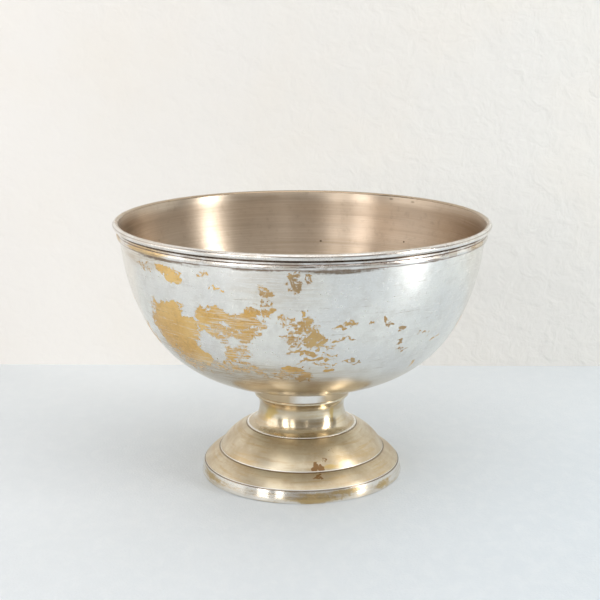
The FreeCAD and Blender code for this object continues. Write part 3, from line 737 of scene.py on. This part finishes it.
foot_plate = TurnedFinish("foot_plate", -1.0)
foot_strokes = foot_plate.streaks(20.0, 900.0, 3.0)
haze = foot_plate.noise(24.0, 5.0, 0.6, 0.2)
foot_fine = foot_plate.noise(260.0, 5.0, 0.7, 0.4)
foot_rubs = foot_plate.streaks(26.0, 200.0, 5.0, 0.65)
yellow = foot_plate.sum((foot_plate.spots(YELLOWED, edge=1.3), 1.0), (foot_rubs, 1.2), (foot_fine, 1.0))
splashes = foot_plate.spots(STAINS, foot_plate.wandering((240.0, 0.008)))
stain = foot_plate.sum((splashes, 1.0), (foot_fine, 1.5))
stain = foot_plate.between(stain, 1.12, 1.32, 0.0, 0.9)
# Painted shade and dirt darken the corner under each tier, and a painted highlight lightens the edge
# above it.
corners = foot_plate.ring(0.0478, 0.0484, EDGE_SOFT)
tier_edge_highlight = foot_plate.ring(0.0486, 0.0494, EDGE_SOFT)
for low in (0.0238, 0.0114):
    corners = foot_plate.larger(corners, foot_plate.ring(low, low + 0.0006, EDGE_SOFT))
    tier_edge_highlight = foot_plate.larger(tier_edge_highlight, foot_plate.ring(low + 0.0008, low + 0.0016, EDGE_SOFT))
stem_shine = foot_plate.between(foot_plate.height, 0.044, 0.056, 0.15, 0.0)
foot_plate.set(
    Base_Color=foot_plate.coats(
        FOOT,
        (foot_plate.between(haze, 0.35, 0.65), FOOT_HAZE),
        (foot_plate.between(foot_rubs, 0.46, 0.66, 0.0, 0.65), FOOT_RUB),
        (foot_plate.between(foot_fine, 0.5, 0.7, 0.0, 0.22), FOOT_PALE),
        (foot_plate.between(yellow, 1.45, 2.0, 0.0, 0.85), FOOT_YELLOW),
        (stain, FOOT_STAIN),
        # Painted highlight along the edge of each tier.
        (tier_edge_highlight, FOOT_EDGE_HIGHLIGHT),
        # Painted shade and dirt in the corner under each tier.
        (foot_plate.product(corners, 0.8), BLACK_DIRT_AND_SHADE),
    ),
    Metallic=1.0,
    Roughness=foot_plate.sum((haze, 0.34), (stain, 0.2), (foot_fine, 0.08), (stem_shine, 1.0)),
    Normal=foot_plate.bump(foot_strokes, 0.00002, 0.4),
)
foot_plate.grain(0.3)

foot = Outline(0.0260, 0.0794)
foot.line(0.0260, 0.0806)
foot.line(0.0455, 0.0806, 2)
foot.bend_to(0.0462, 0.0799, -0.0007, 4)
foot.line(0.0462, 0.078553)
foot.bend_to(0.0414, 0.0680, 0.014, 10)
foot.bend_to(0.0442, 0.055795, 0.028, 12)
foot.bend_to(0.0537, 0.0491, 0.011992, 10)
foot.line(0.0537, 0.0483)
foot.bend_to(0.0804, 0.0252, -0.0525, 18)
foot.line(0.0804, 0.0244)
foot.bend_to(0.0954, 0.0129, -0.038, 14)
foot.line(0.0954, 0.0120)
foot.line(0.0942, 0.0120)
foot.bend_to(0.0804, 0.0232, 0.0368, 8)
foot.line(0.0792, 0.0244)
foot.bend_to(0.0537, 0.0471, 0.0513, 12)
foot.line(0.0525, 0.0479)
foot.bend_to(0.0430, 0.055523, -0.013912, 8)
foot.bend_to(0.0402, 0.0680, -0.0292, 8)
foot.bend_to(0.0450, 0.079085, -0.0152, 8)
foot.line(0.0450, 0.0794)
foot.close()
foot.turn("foot_shell_look", [foot_plate], "foot_plate", FOOT_STEPS)

# -------------------------------------------------------------------------------------------------
# Base ring: the heavy plain band that the foot shell is soldered to. The bowl stands on its lower
# face, and patches of its plate are rubbed through to brass.
# -------------------------------------------------------------------------------------------------
BASE, BASE_RUB, BASE_GOLD = (0.86, 0.82, 0.76), (0.74, 0.66, 0.54), (0.58, 0.42, 0.20)
BASE_JOINT_SHADE = (0.16, 0.11, 0.07)
BASE_RUBBED = [
    (8, 5, 16, 6, 0, 1.0), (24, 9, 14, 3, 0, 0.9), (54, 6, 9, 5, 0, 0.9),
    (-62, 7, 18, 3.5, 0, 0.7), (100, 6, 20, 5, 0, 0.9), (160, 5, 26, 6, 0, 0.9),
    (-110, 6, 16, 5, 0, 0.8), (-150, 4, 18, 4, 0, 0.9),
]

base = Outline(0.0924, 0.0120)
base.line(0.0944, 0.0024)
base.line(0.0944, 0.0)
base.line(0.0974, 0.0)
base.bend_to(0.0986, 0.0012, 0.0012, 6)
base.line(0.0964, 0.0115, 3)
base.bend_to(0.0959, 0.0120, 0.0005, 4)
base.close()
base_plate = TurnedFinish("base_plate", -1.0)
base_rubs = base_plate.streaks(30.0, 260.0, 5.0, 0.65)
base_fine = base_plate.noise(220.0, 5.0, 0.7, 0.4)
base_gold = base_plate.sum((base_plate.spots(BASE_RUBBED, edge=1.0), 1.0), (base_rubs, 1.6),
                           (base_fine, 1.2))
base_gold = base_plate.between(base_gold, 1.45, 2.05, 0.0, 0.95)
base_plate.set(
    Base_Color=base_plate.coats(
        BASE,
        (base_plate.between(base_rubs, 0.4, 0.65), BASE_RUB),
        (base_gold, BASE_GOLD),
        # Painted shade: the ring's top edge, under the foot's lowest tier, is darkened.
        (base_plate.between(base_plate.height, 0.0112, 0.0119, 0.0, 0.85), BASE_JOINT_SHADE),
    ),
    Metallic=1.0,
    Roughness=base_plate.sum((base_fine, 0.3), (base_gold, 0.06)),
)
base_plate.grain(0.4)
base.turn("base_ring_look", [base_plate], "foot_plate", FOOT_STEPS)

# -------------------------------------------------------------------------------------------------
# Fastening inside the foot, and the wire in the rim: a turned boss under the bowl, its stud, a
# dished plate, a washer and a nut. The brass is left bare, and the steel is zinc plated.
# -------------------------------------------------------------------------------------------------
BRASS, BRASS_DULL, BRASS_RING = (0.70, 0.52, 0.25), (0.50, 0.35, 0.17), (0.36, 0.25, 0.13)
ZINC, ZINC_BLOOM, RUST = (0.62, 0.62, 0.63), (0.44, 0.44, 0.45), (0.30, 0.19, 0.12)

bare_brass = TurnedFinish("bare_brass")
tool_rings = bare_brass.streaks(12.0, 1400.0, 3.0, 0.6)
dulling = bare_brass.noise(90.0, 5.0, 0.6)
bare_brass.set(
    Base_Color=bare_brass.coats(
        BRASS,
        (bare_brass.between(dulling, 0.38, 0.64), BRASS_DULL),
        (bare_brass.between(tool_rings, 0.55, 0.75, 0.0, 0.4), BRASS_RING),
    ),
    Metallic=1.0,
    Roughness=bare_brass.between(dulling, 0.3, 0.7, 0.30, 0.50),
    Normal=bare_brass.bump(tool_rings, 0.00004, 0.5),
)
fixing_steel = Finish("fixing_steel")
bloom = fixing_steel.noise(260.0, 5.0, 0.6)
rust = fixing_steel.between(fixing_steel.noise(130.0, 6.0, 0.7, 0.5), 0.58, 0.70, 0.0, 0.7)
fixing_steel.set(
    Base_Color=fixing_steel.coats(
        ZINC,
        (fixing_steel.between(bloom, 0.35, 0.65), ZINC_BLOOM),
        (rust, RUST),
    ),
    Metallic=fixing_steel.maths("SUBTRACT", 1.0, rust),
    Roughness=fixing_steel.between(bloom, 0.3, 0.7, 0.28, 0.48),
    Normal=fixing_steel.bump(bloom, 0.00003, 0.5),
)
for node, finish in (("rim_wire", bare_brass), ("bowl_boss", bare_brass), ("clamp_plate", bare_brass),
                     ("stud", fixing_steel), ("spring_washer", fixing_steel), ("nut", fixing_steel)):
    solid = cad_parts[node]
    solid.data.materials.clear()
    solid.data.materials.append(finish.material)
